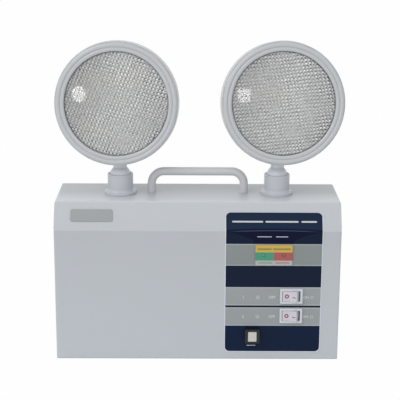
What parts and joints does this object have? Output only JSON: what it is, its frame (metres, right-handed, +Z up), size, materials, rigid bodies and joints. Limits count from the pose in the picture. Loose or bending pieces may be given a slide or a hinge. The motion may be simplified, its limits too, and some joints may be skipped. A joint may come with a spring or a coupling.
{
  "type": "twin head emergency light",
  "caption": "Self-contained emergency light: a steel battery case with a carry handle, switches and a test button, and round floodlight heads on ball swivels.",
  "frame": {"origin": "centre of the case's bottom face", "axes": "+X to the right as seen from the front, +Y to the back of the case, +Z up"},
  "size_m": [0.2741, 0.0921, 0.3012],
  "materials": {
    "case_paint": "satin light grey powder coat",
    "back_paint": "satin light grey powder coat",
    "plated_steel": "bright zinc plating",
    "rod_steel": "satin pale grey coat",
    "film_blue": "printed polyester film, dark blue with grey bands",
    "badge_silver": "satin plain plate",
    "status_print": "printed plate, yellow, green, red and pale grey",
    "led_green": "clear green",
    "led_red": "clear red",
    "board_green": "solder resist",
    "switch_frame": "moulded, pale grey",
    "rocker_white": "moulded, white",
    "switch_black": "moulded, black",
    "cap_ivory": "moulded, warm white",
    "brass": "plain",
    "battery_grey": "moulded, dark grey",
    "lead_grey": "insulated lead",
    "core_steel": "varnished laminations",
    "coil_copper": "taped winding",
    "relay_blue": "moulded, blue",
    "capacitor_sleeve": "sleeved can",
    "heat_sink_alloy": "extruded",
    "terminal_green": "moulded, green",
    "rubber_grey": "moulded",
    "head_plastic": "moulded, light grey",
    "collar_plastic": "moulded, light grey",
    "stem_plastic": "moulded, mid grey",
    "seat_plastic": "moulded, dark grey",
    "lens_clear": "clear, moulded square prisms",
    "reflector_silver": "vacuum metallised",
    "bulb_glass": "clear",
    "holder_cream": "moulded, cream"
  },
  "bodies": {
    "case": {"housing_shell": "case_paint", "back_cover": "back_paint", "cover_screws": "plated_steel", "mains_grommet": "rubber_grey", "carry_handle": "rod_steel", "handle_nuts": "plated_steel", "control_label": "film_blue", "badge_plate": "badge_silver", "status_plate": "status_print", "status_led_green": "led_green", "status_led_red": "led_red", "indicator_board": "board_green", "switch_tabs": "brass", "test_switch_housing": "switch_black", "test_spring": "plated_steel", "battery_case": "battery_grey", "battery_terminals": "brass", "battery_bracket": "plated_steel", "battery_leads": "lead_grey", "transformer_core": "core_steel", "transformer_coil": "coil_copper", "transformer_bracket": "plated_steel", "bracket_nuts": "plated_steel", "circuit_board": "board_green", "board_standoffs": "plated_steel", "relay": "relay_blue", "capacitors": "capacitor_sleeve", "heat_sink": "heat_sink_alloy", "terminal_block": "terminal_green", "lamp_leads": "lead_grey", "left_rocker_frame": "switch_frame", "right_rocker_frame": "switch_frame"},
    "left_swivel": {"left_collar": "collar_plastic", "left_collar_nut": "plated_steel", "left_ball_seat": "seat_plastic"},
    "left_head": {"left_ball_stem": "stem_plastic", "left_stem_nut": "plated_steel", "left_head_shell": "head_plastic", "left_bezel_ring": "head_plastic", "left_lens": "lens_clear", "left_reflector": "reflector_silver", "left_bulb": "bulb_glass", "left_bulb_holder": "holder_cream", "left_head_lead": "lead_grey"},
    "right_swivel": {"right_collar": "collar_plastic", "right_collar_nut": "plated_steel", "right_ball_seat": "seat_plastic"},
    "right_head": {"right_ball_stem": "stem_plastic", "right_stem_nut": "plated_steel", "right_head_shell": "head_plastic", "right_bezel_ring": "head_plastic", "right_lens": "lens_clear", "right_reflector": "reflector_silver", "right_bulb": "bulb_glass", "right_bulb_holder": "holder_cream", "right_head_lead": "lead_grey"},
    "left_lamp_switch": {"left_lamp_rocker": "rocker_white"},
    "right_lamp_switch": {"right_lamp_rocker": "rocker_white"},
    "test_switch": {"test_button": "cap_ivory"}
  },
  "joints": [
    {"name": "left_pan", "type": "hinge", "parent": "case", "child": "left_swivel", "pos_m": [-0.0745, 0.005, 0.1713], "axis": [0, 0, 1], "range_deg": [-170, 170]},
    {"name": "left_tilt", "type": "hinge", "parent": "left_swivel", "child": "left_head", "pos_m": [-0.0745, 0.005, 0.1713], "axis": [-0.9993, 0.0279, -0.0262], "range_deg": [-30, 30]},
    {"name": "right_pan", "type": "hinge", "parent": "case", "child": "right_swivel", "pos_m": [0.0761, 0.005, 0.1713], "axis": [0, 0, 1], "range_deg": [-170, 170]},
    {"name": "right_tilt", "type": "hinge", "parent": "right_swivel", "child": "right_head", "pos_m": [0.0761, 0.005, 0.1713], "axis": [-0.9979, -0.0401, 0.0506], "range_deg": [-30, 30]},
    {"name": "left_lamp_rock", "type": "hinge", "parent": "case", "child": "left_lamp_switch", "pos_m": [0.089, -0.0369, 0.065], "axis": [0, 0, 1], "range_deg": [0, 24]},
    {"name": "right_lamp_rock", "type": "hinge", "parent": "case", "child": "right_lamp_switch", "pos_m": [0.089, -0.0369, 0.0454], "axis": [0, 0, 1], "range_deg": [0, 24]},
    {"name": "test_press", "type": "slide", "parent": "case", "child": "test_switch", "axis": [0, 1, 0], "range_m": [0, 0.0022], "stiffness_N_per_m": 300, "springref_m": -0.002, "deforming": ["test_spring"]}
  ]
}
